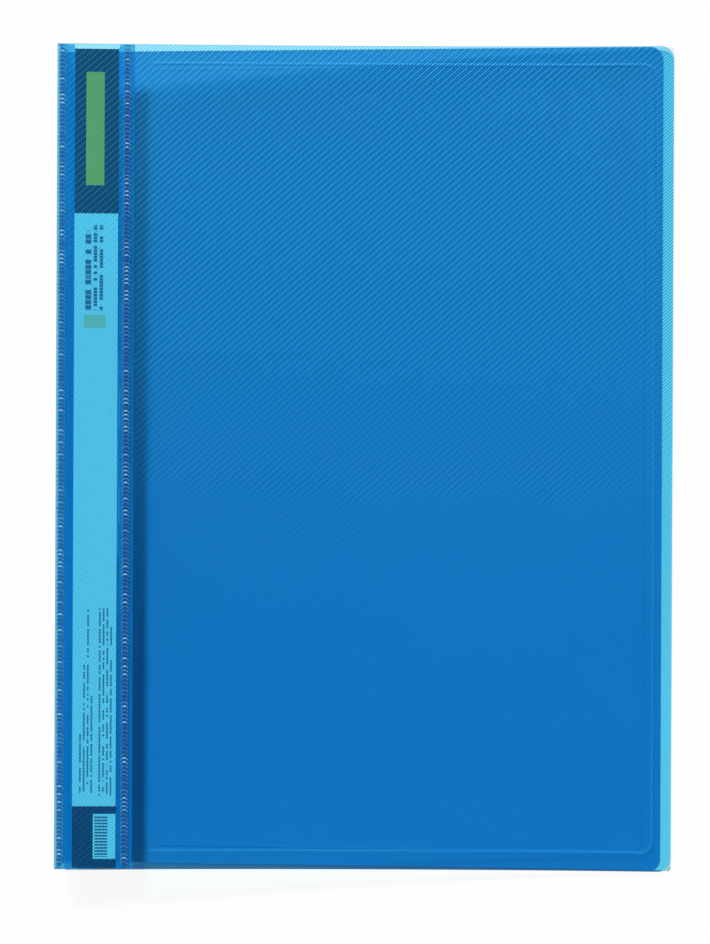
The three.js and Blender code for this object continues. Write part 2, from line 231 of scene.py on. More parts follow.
# Slanting lines pressed into the sheet, every second one deeper
embossing = {
    "pitch": 1.857 * mm,
    "slantDegrees": 41.3,
    "flank": (0.5, 0.95),
    "deepFlank": (0.4, 0.6),
    "shallowShare": 0.55,
    "depth": 0.05 * mm,
    "relief": 0.6,
    "aroundFold": (0.8 * mm, 1.6 * mm),  # closer to the spine the lines run down its face
    "stripReach": 28.8 * mm,  # the cover lies on the label strip up to here from the spine
    "stripHighlightRise": (40 * mm, 110 * mm),  # the lines' painted highlight grows from one height to the other
    "fieldHighlightRise": (-110 * mm, 150 * mm),
}

# Painted shade along the lower edge, in a band that narrows towards the fore edge
lowerEdgeShade = {
    "width": 3.0 * mm,
    "narrowing": 2.4 * mm,
    "fadesFrom": 0.85,  # share of the width
    "share": 0.85,
    "colour": (0.001, 0.10, 0.28),
}


def embossedLines(across, along, height, leans):
    slant = radians(embossing["slantDegrees"])
    onSpine = 1 - across.rise(*[spineX + edge for edge in embossing["aroundFold"]])
    travel = along * cos(slant) - (across + height * onSpine) * (leans * sin(slant))
    every = travel.ridge(embossing["pitch"] / 2).rise(*embossing["flank"])
    deep = travel.ridge(embossing["pitch"]).rise(*embossing["deepFlank"])
    return every * (deep * (1 - embossing["shallowShare"]) + embossing["shallowShare"])


# share of the painted shade along the lower edge
def lowerEdgeShadeShare(across, along):
    width = (across - spineX) * (-lowerEdgeShade["narrowing"] / coverWidth) + lowerEdgeShade["width"]
    return 1 - ((along + topY) / width).rise(lowerEdgeShade["fadesFrom"], 1)


# Pressed bead on three sides of a cover
bead = {
    "inset": 7 * mm,
    "halfWidth": 0.6 * mm,
    "height": 0.35 * mm,
    "start": 35.5 * mm,  # distance from the spine
    "startFade": 0.3 * mm,
    "radius": 4.5 * mm,
    "grooveHalfWidth": 0.3 * mm,
    "sunk": 0.03 * mm,  # keeps the rods off the flat back cover's own planes
    "cuts": 60,
    "fineness": 2,
    "whitening": 0.22,
    "fade": (0.7, 1.2),  # from the bead's middle line, in half widths
}


def beadShare(across, along, edgeX):
    acrossPast = (across - (edgeX - bead["inset"] - bead["radius"])).above(0)
    alongPast = (abs(along) - (topY - bead["inset"] - bead["radius"])).above(0)
    reach = across.math("SQRT", acrossPast * acrossPast + alongPast * alongPast)
    offLine = abs(reach - bead["radius"])
    started = across.rise(spineX + bead["start"] - bead["startFade"], spineX + bead["start"])
    return (1 - offLine.rise(*[bead["halfWidth"] * part for part in bead["fade"]])) * started


# Weld lines beside the label: rows of small arches that open downwards
weld = {
    "pitch": 1.5 * mm,
    "rows": (2.1 * mm, 26.2 * mm),  # distances from the spine
    "arcRadius": 1.4 * mm,
    "rodRadius": 0.24 * mm,
    "sweepDegrees": 140,
    "steps": 7,
    "sides": 6,
    "endMargin": 1.4 * mm,
    "lift": 0.05 * mm,
    "smoothUnder": 60,
    "hollowShadeShare": 0.5,
    "hollowShadeColour": (0.004, 0.07, 0.28),
    "hollowShadeFlank": (0.35, 0.75),
    "hollowShadeEnds": (0.55, 0.85),  # in arch radii
}
weldCount = int((2 * topY - 2 * weld["endMargin"]) / weld["pitch"])
firstWeldY = -(weldCount - 1) / 2 * weld["pitch"]  # top of the lowest arch


def weldHollowShade(across, along):  # painted shade in the hollows between the arches
    dents = []
    for fromSpine in weld["rows"]:
        offCentre = (across - (spineX + fromSpine)) / weld["arcRadius"]
        bent = along + offCentre * offCentre * (weld["arcRadius"] / 2) - firstWeldY
        hollow = (1 - bent.ridge(weld["pitch"])).rise(*weld["hollowShadeFlank"])
        dents.append(hollow * (1 - abs(offCentre).rise(*weld["hollowShadeEnds"])))
    return sum(dents)


# The plastic: one face of a sheet scatters a share of the light and tints the rest,
# the other face only tints it
frontPlastic = {
    "tint": (0.59, 0.925, 1.0),
    "body": (0.008, 0.35, 0.80),
    "lowLine": (0.002, 0.20, 0.52),
    # the lines' paler colour: partly their own, partly a painted highlight
    "paintedHighlightLine": (0.04, 0.60, 1.0),
    "haze": 0.03,
    "stripLineShare": 0.42,
    "lowLineShare": 0.06,
    "paintedHighlightShare": 0.9,  # painted highlight, added where the lines' highlight is strongest
    "edgeGloss": 0.6,
    "roughness": 0.32,
    "leans": 1,
}
backPlastic = dict(
    frontPlastic,
    tint=(0.35, 0.74, 0.915),
    body=(0.34, 0.49, 0.74),
    haze=0.15,
    stripLineShare=0.05,
    paintedHighlightShare=0.06,
    leans=-1,
)
stripPlastic = dict(frontPlastic, tint=(0.62, 0.94, 0.99), body=(0.02, 0.44, 0.92), haze=0.36)
rimPlastic = dict(frontPlastic, tint=(0.30, 0.72, 0.88), body=(0.01, 0.26, 0.62), haze=0.35)
clouding = {
    "scale": 38,
    "hazeShare": 0.3,
    "plainHazeShare": 0.85,
    "darkening": 0.94,
    "roughnessRange": 0.12,
    "gloss": 0.3,
    "grazingBlend": 0.25,
}


def makeClear(name, look):
    recipe = Recipe(bpy.data.materials.new(name))
    return recipe.show(recipe.tinted(look))


# this flag adds painted shade in the weld hollows and along the lower edge, on a face that has lines
def makePlastic(name, look, lines=False, beadEdge=None, paintsWeldAndEdgeShade=False):
    recipe = Recipe(bpy.data.materials.new(name))
    place, across, along, height = recipe.place()
    clouds = recipe.noise(place, clouding["scale"])
    plainHaze = look["haze"] * clouding["plainHazeShare"]
    haze = clouds * (look["haze"] * clouding["hazeShare"]) + plainHaze
    grazing = recipe.node("ShaderNodeLayerWeight", {}, {"Blend": clouding["grazingBlend"]}, "Facing")
    share = haze + grazing * look["edgeGloss"]
    darker = [channel * clouding["darkening"] for channel in look["body"]]
    colour = recipe.mix(clouds, darker, look["body"])
    swing = clouding["roughnessRange"]
    sockets = {
        "Roughness": clouds * swing + (look["roughness"] - swing / 2),
        "Specular_IOR_Level": clouding["gloss"],
    }
    if beadEdge is not None:
        share = share + beadShare(across, along, beadEdge) * bead["whitening"]
    if lines:
        press = embossedLines(across, along, height, look["leans"])
        stripEnd = spineX + embossing["stripReach"]
        field = across.rise(stripEnd, stripEnd + mm)
        # the lines' pale colour is partly their own and partly a painted highlight that grows towards the
        # top, where the key comes from
        fieldShare = along.rise(*embossing["fieldHighlightRise"]) * look["paintedHighlightShare"] + look["lowLineShare"]
        share = share + press * (field * fieldShare + (1 - field) * look["stripLineShare"])
        highlit = field.above(along.rise(*embossing["stripHighlightRise"]))
        colour = recipe.mix(press, colour, recipe.mix(highlit, look["lowLine"], look["paintedHighlightLine"]))
        sockets["Normal"] = recipe.bump(press, embossing["depth"], embossing["relief"])
    if paintsWeldAndEdgeShade:
        # painted shade in the weld hollows between the arches
        hollowShaded = weldHollowShade(across, along)
        share = share + hollowShaded * weld["hollowShadeShare"]
        colour = recipe.mix(hollowShaded, colour, weld["hollowShadeColour"])
        # painted shade along the front cover's lower edge
        lowerEdgeShaded = lowerEdgeShadeShare(across, along) * field
        share = share + lowerEdgeShaded * lowerEdgeShade["share"]
        colour = recipe.mix(lowerEdgeShaded, colour, lowerEdgeShade["colour"])
    body = recipe.surface(colour, **sockets)
    return recipe.show(recipe.blend(share.clamped(), recipe.tinted(look), body))


# Mesh helpers
cornerSteps = 8
roundSteps = 48
mergeDistance = 0.001 * mm


def selectOnly(*things):
    bpy.ops.object.select_all(action="DESELECT")
    for thing in things:
        thing.select_set(True)
    bpy.context.view_layer.objects.active = things[0]


def selectWhere(thing, kind, test):  # leaves the piece in edit mode
    selectOnly(thing)
    bpy.ops.object.mode_set(mode="EDIT")
    mesh = bmesh.from_edit_mesh(thing.data)
    bpy.ops.mesh.select_mode(type=kind)
    bpy.ops.mesh.select_all(action="DESELECT")
    items = {"VERT": mesh.verts, "EDGE": mesh.edges, "FACE": mesh.faces}[kind]
    for item in items:
        corners = [item] if kind == "VERT" else item.verts
        if all(test(corner.co) for corner in corners):
            item.select = True
    mesh.select_flush_mode()
    bmesh.update_edit_mesh(thing.data)


def leaveEditing():
    bpy.ops.object.mode_set(mode="OBJECT")


def applyModifier(thing, kind, **settings):
    selectOnly(thing)
    modifier = thing.modifiers.new(kind.lower(), kind)
    for name, value in settings.items():
        setattr(modifier, name, value)
    bpy.ops.object.modifier_apply(modifier=modifier.name)


def applyPlace(thing):
    selectOnly(thing)
    bpy.ops.object.transform_apply(location=True, rotation=True, scale=True)


def pointOut(thing):
    selectWhere(thing, "VERT", lambda co: True)
    bpy.ops.mesh.remove_doubles(threshold=mergeDistance)
    bpy.ops.mesh.normals_make_consistent(inside=False)
    leaveEditing()


def smoothOver(thing, degrees=35):
    selectOnly(thing)
    bpy.ops.object.shade_smooth_by_angle(angle=radians(degrees))


def near(value, target, tolerance=0.01 * mm):
    return abs(value - target) < tolerance


def join(target, cutter, operation):
    applyModifier(target, "BOOLEAN", object=cutter, operation=operation, solver="EXACT")
    bpy.data.objects.remove(cutter)


def finishPiece(thing, name, slotName, *materials):
    thing.name = name
    thing.data.name = name
    for material in materials:
        thing.data.materials.append(material)


def flatPanel(left, right, halfHeight, cornerRadius):  # with two round corners at its right end
    bpy.ops.object.select_all(action="DESELECT")
    bpy.ops.mesh.primitive_plane_add(size=1, location=((left + right) / 2, 0, 0))
    panel = bpy.context.object
    panel.scale = (right - left, 2 * halfHeight, 1)
    applyPlace(panel)
    selectWhere(panel, "VERT", lambda co: near(co.x, right))
    bpy.ops.mesh.bevel(affect="VERTICES", offset=cornerRadius, segments=cornerSteps)
    leaveEditing()
    return panel


# A flat sheet with round fore corners, and half of the spine folded from its edge
def foldedSheet(edgeX, rise):
    sheet = flatPanel(spineX, edgeX, topY, folder["cornerRadius"])
    flatLength = edgeX - spineX - 2 * folder["cornerRadius"]
    selectWhere(sheet, "VERT", lambda co: True)
    for column in range(folder["columns"]):
        bpy.ops.mesh.select_all(action="SELECT")
        cutX = spineX + folder["foldReach"] + flatLength * column / folder["columns"]
        bpy.ops.mesh.bisect(plane_co=(cutX, 0, 0), plane_no=(1, 0, 0))
    leaveEditing()
    selectWhere(sheet, "EDGE", lambda co: near(co.x, spineX))
    bpy.ops.mesh.extrude_region_move(TRANSFORM_OT_translate={"value": (0, 0, rise)})
    leaveEditing()
    selectWhere(sheet, "EDGE", lambda co: near(co.x, spineX) and near(co.z, 0))
    bpy.ops.mesh.bevel(affect="EDGES", offset=folder["foldRadius"], segments=folder["foldSteps"])
    leaveEditing()
    pointOut(sheet)
    widest = max(sheet.data.polygons, key=lambda face: face.area)
    if widest.normal.z * rise > 0:  # the outer side faces away from the fold
        sheet.data.flip_normals()
    return sheet


def beadRod(edgeX, halfWidth):
    startX = spineX + bead["start"]
    sideX = edgeX - bead["inset"]
    sideY = topY - bead["inset"]
    rod = flatPanel(startX, sideX, sideY, bead["radius"])
    selectWhere(rod, "EDGE", lambda co: near(co.x, startX))
    bpy.ops.mesh.delete(type="EDGE")
    bpy.ops.mesh.select_all(action="SELECT")
    bpy.ops.mesh.delete(type="ONLY_FACE")
    leaveEditing()
    selectWhere(rod, "EDGE", lambda co: near(abs(co.y), sideY))
    bpy.ops.mesh.subdivide(number_cuts=bead["cuts"])
    leaveEditing()
    return rodAlong(rod, halfWidth, bead["fineness"], bead["height"] / halfWidth)


def rodAlong(path, radius, fineness, flatness=1.0):  # a round bar on a path of loose edges
    selectOnly(path)
    bpy.ops.object.convert(target="CURVE")
    path = bpy.context.object
    path.data.bevel_depth = radius
    path.data.bevel_resolution = fineness
    path.data.use_fill_caps = True
    bpy.ops.object.convert(target="MESH")
    rod = bpy.context.object
    rod.scale.z = flatness
    applyPlace(rod)
    pointOut(rod)
    return rod


def layOnCover(thing, depth=0.0):
    for vertex in thing.data.vertices:
        vertex.co.z += frontHeight(vertex.co.x - spineX) - depth


def thicken(sheet):
    applyModifier(sheet, "SOLIDIFY", thickness=folder["sheet"], offset=-1, use_even_offset=True)


# Slot 0 for the outer side, 1 for the inner side and 2 for the cut edges
def sortSides(sheet, outward, edgeX):
    for face in sheet.data.polygons:
        middle, normal = face.center, face.normal
        atEdge = max(abs(middle.y) - topY, middle.x - edgeX) > -folder["cornerRadius"] / 2
        if atEdge and max(abs(normal.y), normal.x) > folder["rimFacing"]:
            face.material_index = 2
        else:
            face.material_index = 0 if normal.z * outward > normal.x else 1


def shadeSheet(sheet):  # folds and bead smooth, the long faces between them flat
    smoothOver(sheet)
    for face in sheet.data.polygons:
        if max(abs(face.normal.z), abs(face.normal.x)) > folder["flatFacing"]:
            face.use_smooth = False


def cylinder(radius, length, middle, rotation=(0, 0, 0)):
    bpy.ops.object.select_all(action="DESELECT")
    bpy.ops.mesh.primitive_cylinder_add(
        vertices=roundSteps, radius=radius, depth=length, location=middle, rotation=rotation
    )
    made = bpy.context.object
    applyPlace(made)
    return made


def disc(radius, bottom, top, across, along):
    return cylinder(radius, top - bottom, (across, along, (bottom + top) / 2))


def makeFrontSheet():
    sheet = foldedSheet(foreX, folder["seamGap"] - folder["spineWidth"] / 2)
    for vertex in sheet.data.vertices:  # the half spine hangs straight, the cover follows its curve
        vertex.co.z += frontHeight(max(vertex.co.x - spineX, 0))
    thicken(sheet)
    ridge = beadRod(foreX, bead["halfWidth"])
    layOnCover(ridge)
    join(sheet, ridge, "UNION")
    groove = beadRod(foreX, bead["grooveHalfWidth"])
    layOnCover(groove, folder["sheet"])
    join(sheet, groove, "DIFFERENCE")
    shadeSheet(sheet)
    return sheet


boss = {
    "recessRadius": 3.9 * mm,
    "recessDepth": 0.6 * mm,
    "radius": 4.7 * mm,
    "top": 1.3 * mm,
    "holeRadius": 2.0 * mm,
    "rounding": 0.35 * mm,
    "roundingSteps": 3,
    "cutterTop": 2 * mm,
    "cutterBottom": -1 * mm,
}


def bossDisc(across, along):
    made = disc(boss["radius"], folder["sheet"] / 2, boss["top"], across, along)
    selectWhere(made, "EDGE", lambda co: near(co.z, boss["top"]))
    bpy.ops.mesh.bevel(affect="EDGES", offset=boss["rounding"], segments=boss["roundingSteps"])
    leaveEditing()
    return made


def makeBackSheet():
    sheet = foldedSheet(backForeX, folder["spineWidth"] / 2 - folder["seamGap"])
    thicken(sheet)
    ridge = beadRod(backForeX, bead["halfWidth"])
    ridge.location.z = folder["sheet"] - bead["sunk"]
    applyPlace(ridge)
    join(sheet, ridge, "UNION")
    groove = beadRod(backForeX, bead["grooveHalfWidth"])
    groove.location.z = -bead["sunk"]
    applyPlace(groove)
    join(sheet, groove, "DIFFERENCE")
    for rivet in ("rivet_upper", "rivet_lower"):
        middle = sum(boxOf(rivet), Vector()) / 2
        join(sheet, bossDisc(middle.x, middle.y), "UNION")
        for radius, top in (("recessRadius", "recessDepth"), ("holeRadius", "cutterTop")):
            cutter = disc(boss[radius], boss["cutterBottom"], boss[top], middle.x, middle.y)
            join(sheet, cutter, "DIFFERENCE")
    shadeSheet(sheet)
    return sheet


rimFinish = makePlastic("plastic cut edge", rimPlastic)
frontSheet = makeFrontSheet()
frontFinish = makePlastic("front plastic", frontPlastic, lines=True, beadEdge=foreX, paintsWeldAndEdgeShade=True)
frontInside = makeClear("front plastic inside", frontPlastic)
finishPiece(frontSheet, "front_sheet", "cover_plastic", frontFinish, frontInside, rimFinish)
sortSides(frontSheet, 1, foreX)
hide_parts("front_cover", "spine_panel")
say("front cover made")

backSheet = makeBackSheet()
backFinish = makeClear("back plastic", backPlastic)
backInside = makePlastic("back plastic inside", backPlastic, lines=True)
finishPiece(backSheet, "back_sheet", "cover_plastic", backFinish, backInside, rimFinish)
sortSides(backSheet, -1, backForeX)
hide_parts("back_cover")
say("back cover made")

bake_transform(frontSheet)
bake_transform(backSheet)


def weldRow(fromSpine):
    sweep = radians(weld["sweepDegrees"])
    bpy.ops.object.select_all(action="DESELECT")
    bpy.ops.mesh.primitive_circle_add(
        vertices=weld["sides"],
        radius=weld["rodRadius"],
        fill_type="NGON",
        location=(weld["arcRadius"], 0, 0),
        rotation=(pi / 2, 0, 0),
    )
    arch = bpy.context.object
    applyPlace(arch)
    selectWhere(arch, "VERT", lambda co: True)
    bpy.ops.mesh.spin(steps=weld["steps"], angle=sweep, center=(0, 0, 0), axis=(0, 0, 1))
    leaveEditing()
    pointOut(arch)
    middle = sum((vertex.co for vertex in arch.data.vertices), Vector())
    arch.rotation_euler.z = pi / 2 - atan2(middle.y, middle.x)
    applyPlace(arch)
    slope = (frontHeight(fromSpine + mm) - frontHeight(fromSpine - mm)) / (2 * mm)
    arch.rotation_euler.y = -atan2(slope, 1)
    lifted = frontHeight(fromSpine) + weld["lift"]
    arch.location = (spineX + fromSpine, firstWeldY - weld["arcRadius"], lifted)
    applyPlace(arch)
    applyModifier(
        arch,
        "ARRAY",
        count=weldCount,
        use_relative_offset=False,
        use_constant_offset=True,
        constant_offset_displace=(0, weld["pitch"], 0),
    )
    smoothOver(arch, weld["smoothUnder"])
    return arch


weldLook = {
    "dull": (0.015, 0.20, 0.55),
    "bright": (0.12, 0.48, 0.85),
    # colour of the painted glint on the arches' tops
    "white": (0.66, 0.90, 1.0),
    "whitening": (0.66, 0.86),  # arches with a chance above the first turn carry a painted glint, above the second fully
    "glintHalfWidth": 0.35 * mm,
    "betweenRows": (14 * mm, 15 * mm),
    "cellStart": 0.7,  # pitches under an arch's top
    "rowSeed": 411,
    "share": 0.62,
    "glintShare": 0.3,  # added where an arch carries its painted glint
    "roughness": 0.14,
    "coat": 0.6,
}


def makeWeldPlastic():
    recipe = Recipe(bpy.data.materials.new("weld plastic"))
    across, along = recipe.place()[1:3]
    inner = across.rise(*[spineX + edge for edge in weldLook["betweenRows"]])
    start = firstWeldY - weld["pitch"] * weldLook["cellStart"]
    chance = recipe.chance((along - start).cell(weld["pitch"]) + inner * weldLook["rowSeed"])
    colour = recipe.mix(chance, weldLook["dull"], weldLook["bright"])
    outerRow, innerRow = weld["rows"]
    fromMiddle = abs(across - (spineX + (outerRow + innerRow) / 2))
    fromRow = abs(fromMiddle - (innerRow - outerRow) / 2)
    # painted glint: random arches turn white along their tops
    onTop = 1 - fromRow.rise(weldLook["glintHalfWidth"], weldLook["glintHalfWidth"] * 2)
    white = chance.rise(*weldLook["whitening"]) * onTop
    colour = recipe.mix(white, colour, weldLook["white"])
    body = recipe.surface(colour, Roughness=weldLook["roughness"], Coat_Weight=weldLook["coat"])
    share = white * weldLook["glintShare"] + weldLook["share"]
    return recipe.show(recipe.blend(share, recipe.tinted(frontPlastic), body))


weldPlastic = makeWeldPlastic()
for label, distance in zip(("outer", "inner"), weld["rows"]):
    row = weldRow(distance)
    finishPiece(row, "weld_line_" + label, "cover_plastic", weldPlastic)
    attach(row, "front")
say("weld lines made")

# Label card: white paper with plain fields and bars. A field is its left, right, bottom and top
# in millimetres, from the spine and from the middle of the card's length.
card = {
    "paper": (0.95, 0.97, 0.97),
    "dark": (0.003, 0.02, 0.08),
    "ink": (0.02, 0.07, 0.18),
    "inkShare": 0.9,
    "stripe": (1.0, 0.58, 0.05),
    "darkFields": ((0, 30, 91.4, 156), (0, 30, -156, -131.5)),
    "paleField": (14.4, 30, -151.3, -134.4),
    "stripeField": (10.8, 17.6, 102, 144.6),
    "markField": (10.2, 18.4, 48.2, 53.2),
    "markShare": 0.5,
    "rows": (  # a field and the length of one bar
        (10.7, 12.9, 54.9, 85.6, 1.9),
        (13.8, 15.1, 54.9, 87, 1.2),
        (16.0, 17.3, 54.9, 87, 1.2),
        (9.2, 9.8, -126.5, -104, 0.9),
        (10.6, 11.2, -126.5, -78, 0.9),
        (12.0, 12.6, -124, -57, 0.9),
        (13.4, 14.0, -126.5, -90, 0.9),
        (16.4, 17.0, -127.5, -57, 0.9),
        (17.8, 18.4, -127.5, -57, 0.9),
        (19.2, 19.8, -127.5, -57, 0.9),
        (20.6, 21.2, -127.5, -64, 0.9),
    ),
    "rowSeed": 7,
    "missingBars": (0.2, 0.26),
    "gapFlank": (0.7, 0.95),
    "gapShare": 0.7,
    "barField": (15.0, 19.8, -150.6, -135.1),
    "barPitch": 1.15 * mm,
    "barFlank": (0.35, 0.5),
    "roughness": 0.7,
    "fibreScale": 3000,
    "fibreDepth": 0.02 * mm,
    "fibreRelief": 0.2,
}


def insideBox(across, along, box):
    left, right, low, high = [edge * mm for edge in box]
    return across.between(spineX + left, spineX + right) * along.between(low, high)


def brokenRow(recipe, across, along, row):  # bars with some of them missing, like print from afar
    *box, length = row
    printed = recipe.chance(along.cell(length * mm) + row[0] * card["rowSeed"]).rise(*card["missingBars"])
    gaps = along.ridge(length * mm).rise(*card["gapFlank"]) * card["gapShare"]
    return insideBox(across, along, box) * printed * (1 - gaps)


def makeCardPaper():
    recipe = Recipe(bpy.data.materials.new("label card paper"))
    place, across, along = recipe.place()[:3]
    dark = sum(insideBox(across, along, box) for box in card["darkFields"])
    colour = recipe.mix(dark.clamped(), card["paper"], card["dark"])
    colour = recipe.mix(insideBox(across, along, card["paleField"]), colour, card["paper"])
    ink = sum(brokenRow(recipe, across, along, row) for row in card["rows"])
    bars = along.ridge(card["barPitch"]).rise(*card["barFlank"]) * insideBox(across, along, card["barField"])
    colour = recipe.mix((ink + bars).clamped() * card["inkShare"], colour, card["ink"])
    mark = insideBox(across, along, card["markField"]) * card["markShare"]
    stripes = insideBox(across, along, card["stripeField"]) + mark
    colour = recipe.mix(stripes.clamped(), colour, card["stripe"])
    fibres = recipe.bump(recipe.noise(place, card["fibreScale"], 2), card["fibreDepth"], card["fibreRelief"])
    return recipe.show(recipe.surface(colour, Roughness=card["roughness"], Normal=fibres))


def dressNode(name, material):
    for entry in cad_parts[name].material_slots:
        entry.material = material


dressNode("label_card", makeCardPaper())
dressNode("label_backing", makePlastic("label backing plastic", stripPlastic))
say("label dressed")

# The fastener's steel pieces
steelLook = {
    "colour": (0.62, 0.63, 0.64),
    "darkening": 0.85,
    "roughness": 0.22,
    "roughnessRange": 0.16,
    "relief": 0.2,
}


def makeSteel(name, stretch, depth):  # stretch: how fine the marks are along X, Y and Z, per metre
    recipe = Recipe(bpy.data.materials.new(name))
    place = recipe.place()[0]
    along = recipe.node("ShaderNodeMapping", {}, {"Vector": place, "Scale": stretch})
    marks = recipe.noise(along, 1, 3)
    darker = [channel * steelLook["darkening"] for channel in steelLook["colour"]]
    sockets = {
        "Metallic": 1.0,
        "Roughness": marks * steelLook["roughnessRange"] + steelLook["roughness"],
        "Normal": recipe.bump(marks, depth, steelLook["relief"]),
    }
    return recipe.show(recipe.surface(recipe.mix(marks, darker, steelLook["colour"]), **sockets))


rolledSteel = makeSteel("rolled steel", (7000, 400, 7000), 0.01 * mm)
turnedSteel = makeSteel("turned steel", (600, 600, 9000), 0.008 * mm)
wireSteel = makeSteel("drawn wire", (5000, 900, 900), 0.006 * mm)


def startPath(place):  # a piece with one vertex, left in edit mode
    bpy.ops.object.select_all(action="DESELECT")
    bpy.ops.mesh.primitive_plane_add(size=mm, location=(0, 0, 0))
    bpy.ops.object.mode_set(mode="EDIT")
    bpy.ops.mesh.merge(type="CENTER")
    bpy.ops.transform.translate(value=place)
    return bpy.context.object


def drawBy(*move):
    bpy.ops.mesh.extrude_region_move(TRANSFORM_OT_translate={"value": move})


def lathe(profile, across, along):  # profile: radius and height of each corner in turn
    radius, height = profile[0]
    turned = startPath((radius, 0, height))
    for nextRadius, nextHeight in profile[1:]:
        drawBy(nextRadius - radius, 0, nextHeight - height)
        radius, height = nextRadius, nextHeight
    bpy.ops.mesh.select_all(action="SELECT")
    bpy.ops.mesh.spin(steps=roundSteps, angle=2 * pi, center=(0, 0, 0), axis=(0, 0, 1))
    leaveEditing()
    turned.location = (across, along, 0)
    applyPlace(turned)
    pointOut(turned)
    smoothOver(turned, 40)
    return turned


post = {
    "shankRadius": 1.2 * mm,
    "flangeRadius": 3.0 * mm,
    "flangeBottom": 2.7 * mm,
    "flangeTop": 3.2 * mm,
    "radius": 1.8 * mm,
    "socketRadius": 1.2 * mm,
    "socketDepth": 2.5 * mm,
    "rounding": 0.15 * mm,
}
rivet = {
    "bore": 1.0 * mm,
    "headRadius": 3.6 * mm,
    "footTop": 0.3 * mm,
    "shankRadius": 1.7 * mm,
    "headBottom": 2.7 * mm,
    "rounding": 0.1 * mm,
    "dome": ((1, 0.25), (0.93, 0.5), (0.8, 0.8)),  # shares of the head's radius and height
    "lip": ((3, 0.92), (0, 0.75)),  # roundings from the bore, share of the head's height
}


def makePost(node):
    low, high = boxOf(node)
    middle = (low + high) / 2
    soft = post["rounding"]
    profile = (
        (0, low.z),
        (post["shankRadius"] - soft, low.z),
        (post["shankRadius"], low.z + soft),
        (post["shankRadius"], post["flangeBottom"]),
        (post["flangeRadius"] - soft, post["flangeBottom"]),
        (post["flangeRadius"], post["flangeBottom"] + soft),
        (post["flangeRadius"], post["flangeTop"] - soft),
        (post["flangeRadius"] - soft, post["flangeTop"]),
        (post["radius"] + soft, post["flangeTop"]),
        (post["radius"], post["flangeTop"] + soft),
        (post["radius"], high.z - soft),
        (post["radius"] - soft, high.z),
        (post["socketRadius"] + soft, high.z),
        (post["socketRadius"], high.z - soft),
        (post["socketRadius"], high.z - post["socketDepth"]),
        (0, high.z - post["socketDepth"]),
    )
    return lathe(profile, middle.x, middle.y)


def makeRivet(node):
    low, high = boxOf(node)
    middle = (low + high) / 2
    soft = rivet["rounding"]
    bottom = rivet["headBottom"]
    headHeight = high.z - bottom
    dome = [(rivet["headRadius"] * out, bottom + headHeight * up) for out, up in rivet["dome"]]
    lip = [(rivet["bore"] + out * soft, bottom + headHeight * up) for out, up in rivet["lip"]]
    profile = (
        (rivet["bore"] + soft, low.z),
        (rivet["headRadius"] - soft, low.z),
        (rivet["headRadius"], low.z + soft),
        (rivet["headRadius"] - soft, rivet["footTop"]),
        (rivet["shankRadius"], rivet["footTop"]),
        (rivet["shankRadius"], bottom),
        (rivet["headRadius"] - soft, bottom),
        *dome,
        ((rivet["headRadius"] + rivet["bore"]) / 2, high.z),
        *lip,
        (rivet["bore"], low.z + soft),
        (rivet["bore"] + soft, low.z),
    )
    return lathe(profile, middle.x, middle.y)


for place in ("upper", "lower"):
    for kind, make in (("post_", makePost), ("rivet_", makeRivet)):
        piece = make(kind + place)
        finishPiece(piece, "turned_" + kind + place, "fastener_steel", turnedSteel)
        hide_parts(kind + place)
        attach(piece, "back")
say("posts and rivets turned")

clip = {
    "radius": 1.2 * mm,
    "bend": 2.0 * mm,
    "archRadius": 3.75 * mm,
    "archSteps": 20,
    "fineness": 5,
}


def hingeAxis():  # where the wire turns, across and up
    low, high = boxOf("wire_clip")
    return high.x - clip["radius"], low.z + clip["radius"]


def makeWireClip():
    high = boxOf("wire_clip")[1]
    hingeX, hingeZ = hingeAxis()
    legY = high.y - clip["radius"]
    archZ = high.z - clip["radius"] - clip["archRadius"]
    wire = startPath((hingeX, 0, hingeZ))
    drawBy(0, legY, 0)
    drawBy(0, 0, archZ - hingeZ)
    archCentre = (hingeX - clip["archRadius"], legY, archZ)
    bpy.ops.mesh.spin(steps=clip["archSteps"], angle=pi, center=archCentre, axis=(0, -1, 0))
    leaveEditing()
    selectWhere(wire, "VERT", lambda co: near(co.y, legY) and near(co.z, hingeZ))
    bpy.ops.mesh.bevel(affect="VERTICES", offset=clip["bend"], segments=cornerSteps)
    leaveEditing()
    applyModifier(wire, "MIRROR", use_axis=(False, True, False))
    selectWhere(wire, "VERT", lambda co: True)
    bpy.ops.mesh.remove_doubles(threshold=mergeDistance)
    leaveEditing()
    wire = rodAlong(wire, clip["radius"], clip["fineness"])
    smoothOver(wire, 50)
    return wire


wireClip = makeWireClip()
finishPiece(wireClip, "bent_wire_clip", "fastener_steel", wireSteel)
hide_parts("wire_clip")
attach(wireClip, "clip")
say("wire clip bent")

plate = {
    "thickness": 0.8 * mm,
    "cornerRadius": 4.0 * mm,
    "rounding": 0.12 * mm,
    "knuckleRadius": 2.05 * mm,
    "knuckleBore": 1.45 * mm,
    "knuckleLength": 14 * mm,
    "knuckleDistance": 18 * mm,
    "postHole": 1.5 * mm,
    "rivetHole": 2.0 * mm,
    "roundingSteps": 2,
    "cutterExtra": 1 * mm,  # how far a cutter reaches past the face that it cuts
}


def roundEdges(thing, axes, offset, steps):  # those whose two ends agree in all these axes
    selectWhere(thing, "EDGE", lambda co: False)
    mesh = bmesh.from_edit_mesh(thing.data)
    for edge in mesh.edges:
        first, second = [corner.co for corner in edge.verts]
        edge.select = all(near(first[axis], second[axis]) for axis in axes)
    mesh.select_flush_mode()
    bpy.ops.mesh.bevel(affect="EDGES", offset=offset, segments=steps)
    leaveEditing()


